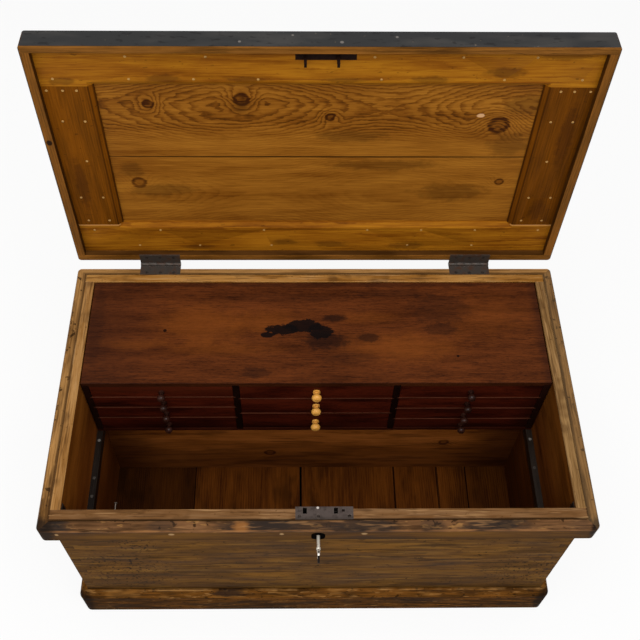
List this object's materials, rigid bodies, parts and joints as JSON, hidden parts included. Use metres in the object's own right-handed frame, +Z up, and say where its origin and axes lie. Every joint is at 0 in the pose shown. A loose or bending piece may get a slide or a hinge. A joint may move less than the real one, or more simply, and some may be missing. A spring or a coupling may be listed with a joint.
{
  "type": "tool chest",
  "caption": "Pine tool chest with a framed lid, a sliding mahogany nest of drawers, lock and key, iron hinges and drop handles.",
  "frame": {"origin": "on the ground, under the middle of the chest's rim", "axes": "+Z up, the front with the keyhole faces -Y, +X is to the right of someone who faces the chest"},
  "size_m": [0.95, 0.6524, 1.025],
  "materials": {
    "aged_pine": "worn wax over dark stained pine",
    "floor_pine": "bare pine, dirty and dry",
    "lid_pine": "varnished pine, golden brown",
    "runner_oak": "dark oak, rubbed",
    "mahogany": "old polish, red-brown",
    "boxwood": "polished boxwood",
    "ebonised_wood": "black stained and polished",
    "dark_iron": "dull iron with brown rust",
    "bright_iron": "iron rubbed bright",
    "key_steel": "handled steel"
  },
  "bodies": {
    "chest": {"front_wall": "aged_pine", "back_wall": "aged_pine", "left_wall": "aged_pine", "right_wall": "aged_pine", "floor_boards": "floor_pine", "rim_moulding": "aged_pine", "plinth": "aged_pine", "well_partition": "floor_pine", "till_runners": "runner_oak", "runner_nails": "bright_iron", "corner_irons": "dark_iron", "hanging_nail": "bright_iron", "lock_case": "dark_iron", "lock_plate": "dark_iron", "keyhole_escutcheon": "dark_iron", "chest_hinge_leaves": "dark_iron", "hinge_pins": "dark_iron", "chest_screws": "dark_iron", "handle_plates": "dark_iron"},
    "lid": {"lid_front_rail": "lid_pine", "lid_back_rail": "lid_pine", "lid_stiles": "lid_pine", "lid_panel": "lid_pine", "lid_skirt": "aged_pine", "lid_nails": "dark_iron", "link_plate": "dark_iron", "lid_hinge_leaves": "dark_iron", "lid_hinge_screws": "dark_iron"},
    "till": {"till_top": "mahogany", "till_bottom": "mahogany", "till_ends": "mahogany", "till_dividers": "mahogany", "till_back": "mahogany", "till_shelves": "mahogany"},
    "drawer_left_1_body": {"drawer_left_1": "mahogany", "knob_left_1": "ebonised_wood"},
    "drawer_left_2_body": {"drawer_left_2": "mahogany", "knob_left_2": "ebonised_wood"},
    "drawer_left_3_body": {"drawer_left_3": "mahogany", "knob_left_3": "ebonised_wood"},
    "drawer_left_4_body": {"drawer_left_4": "mahogany", "knob_left_4": "ebonised_wood"},
    "drawer_centre_1_body": {"drawer_centre_1": "mahogany", "knob_centre_1": "boxwood"},
    "drawer_centre_2_body": {"drawer_centre_2": "mahogany", "knob_centre_2": "boxwood"},
    "drawer_centre_3_body": {"drawer_centre_3": "mahogany", "knob_centre_3": "boxwood"},
    "drawer_right_1_body": {"drawer_right_1": "mahogany", "knob_right_1": "ebonised_wood"},
    "drawer_right_2_body": {"drawer_right_2": "mahogany", "knob_right_2": "ebonised_wood"},
    "drawer_right_3_body": {"drawer_right_3": "mahogany", "knob_right_3": "ebonised_wood"},
    "drawer_right_4_body": {"drawer_right_4": "mahogany", "knob_right_4": "ebonised_wood"},
    "key_body": {"key": "key_steel"},
    "bolt_body": {"lock_bolt": "bright_iron"},
    "left_handle_body": {"left_handle": "dark_iron"},
    "right_handle_body": {"right_handle": "dark_iron"}
  },
  "joints": [
    {"name": "lid_hinge", "type": "hinge", "parent": "chest", "child": "lid", "pos_m": [0, 0.2797, 0.4778], "axis": [1, 0, 0], "range_deg": [0, 92.4]},
    {"name": "till_slide", "type": "slide", "parent": "chest", "child": "till", "axis": [0, 1, 0], "range_m": [-0.2, 0]},
    {"name": "key_turn", "type": "hinge", "parent": "chest", "child": "key_body", "pos_m": [-0.001, -0.267, 0.447], "axis": [0, -1, 0], "range_deg": [0, 180]},
    {"name": "bolt_slide", "type": "slide", "parent": "chest", "child": "bolt_body", "axis": [-1, 0, 0], "range_m": [0, 0.008]},
    {"name": "left_handle_swing", "type": "hinge", "parent": "chest", "child": "left_handle_body", "pos_m": [-0.465, 0, 0.3], "axis": [0, 1, 0], "range_deg": [0, 95]},
    {"name": "right_handle_swing", "type": "hinge", "parent": "chest", "child": "right_handle_body", "pos_m": [0.465, 0, 0.3], "axis": [0, -1, 0], "range_deg": [0, 95]},
    {"name": "drawer_left_1_slide", "type": "slide", "parent": "till", "child": "drawer_left_1_body", "axis": [0, -1, 0], "range_m": [0, 0.15]},
    {"name": "drawer_left_2_slide", "type": "slide", "parent": "till", "child": "drawer_left_2_body", "axis": [0, -1, 0], "range_m": [0, 0.15]},
    {"name": "drawer_left_3_slide", "type": "slide", "parent": "till", "child": "drawer_left_3_body", "axis": [0, -1, 0], "range_m": [0, 0.15]},
    {"name": "drawer_left_4_slide", "type": "slide", "parent": "till", "child": "drawer_left_4_body", "axis": [0, -1, 0], "range_m": [0, 0.15]},
    {"name": "drawer_centre_1_slide", "type": "slide", "parent": "till", "child": "drawer_centre_1_body", "axis": [0, -1, 0], "range_m": [0, 0.15]},
    {"name": "drawer_centre_2_slide", "type": "slide", "parent": "till", "child": "drawer_centre_2_body", "axis": [0, -1, 0], "range_m": [0, 0.15]},
    {"name": "drawer_centre_3_slide", "type": "slide", "parent": "till", "child": "drawer_centre_3_body", "axis": [0, -1, 0], "range_m": [0, 0.15]},
    {"name": "drawer_right_1_slide", "type": "slide", "parent": "till", "child": "drawer_right_1_body", "axis": [0, -1, 0], "range_m": [0, 0.15]},
    {"name": "drawer_right_2_slide", "type": "slide", "parent": "till", "child": "drawer_right_2_body", "axis": [0, -1, 0], "range_m": [0, 0.15]},
    {"name": "drawer_right_3_slide", "type": "slide", "parent": "till", "child": "drawer_right_3_body", "axis": [0, -1, 0], "range_m": [0, 0.15]},
    {"name": "drawer_right_4_slide", "type": "slide", "parent": "till", "child": "drawer_right_4_body", "axis": [0, -1, 0], "range_m": [0, 0.15]}
  ],
  "couplings": [
    {"joint": "key_turn", "follows": "bolt_slide", "rad_per_m": 392.5}
  ]
}
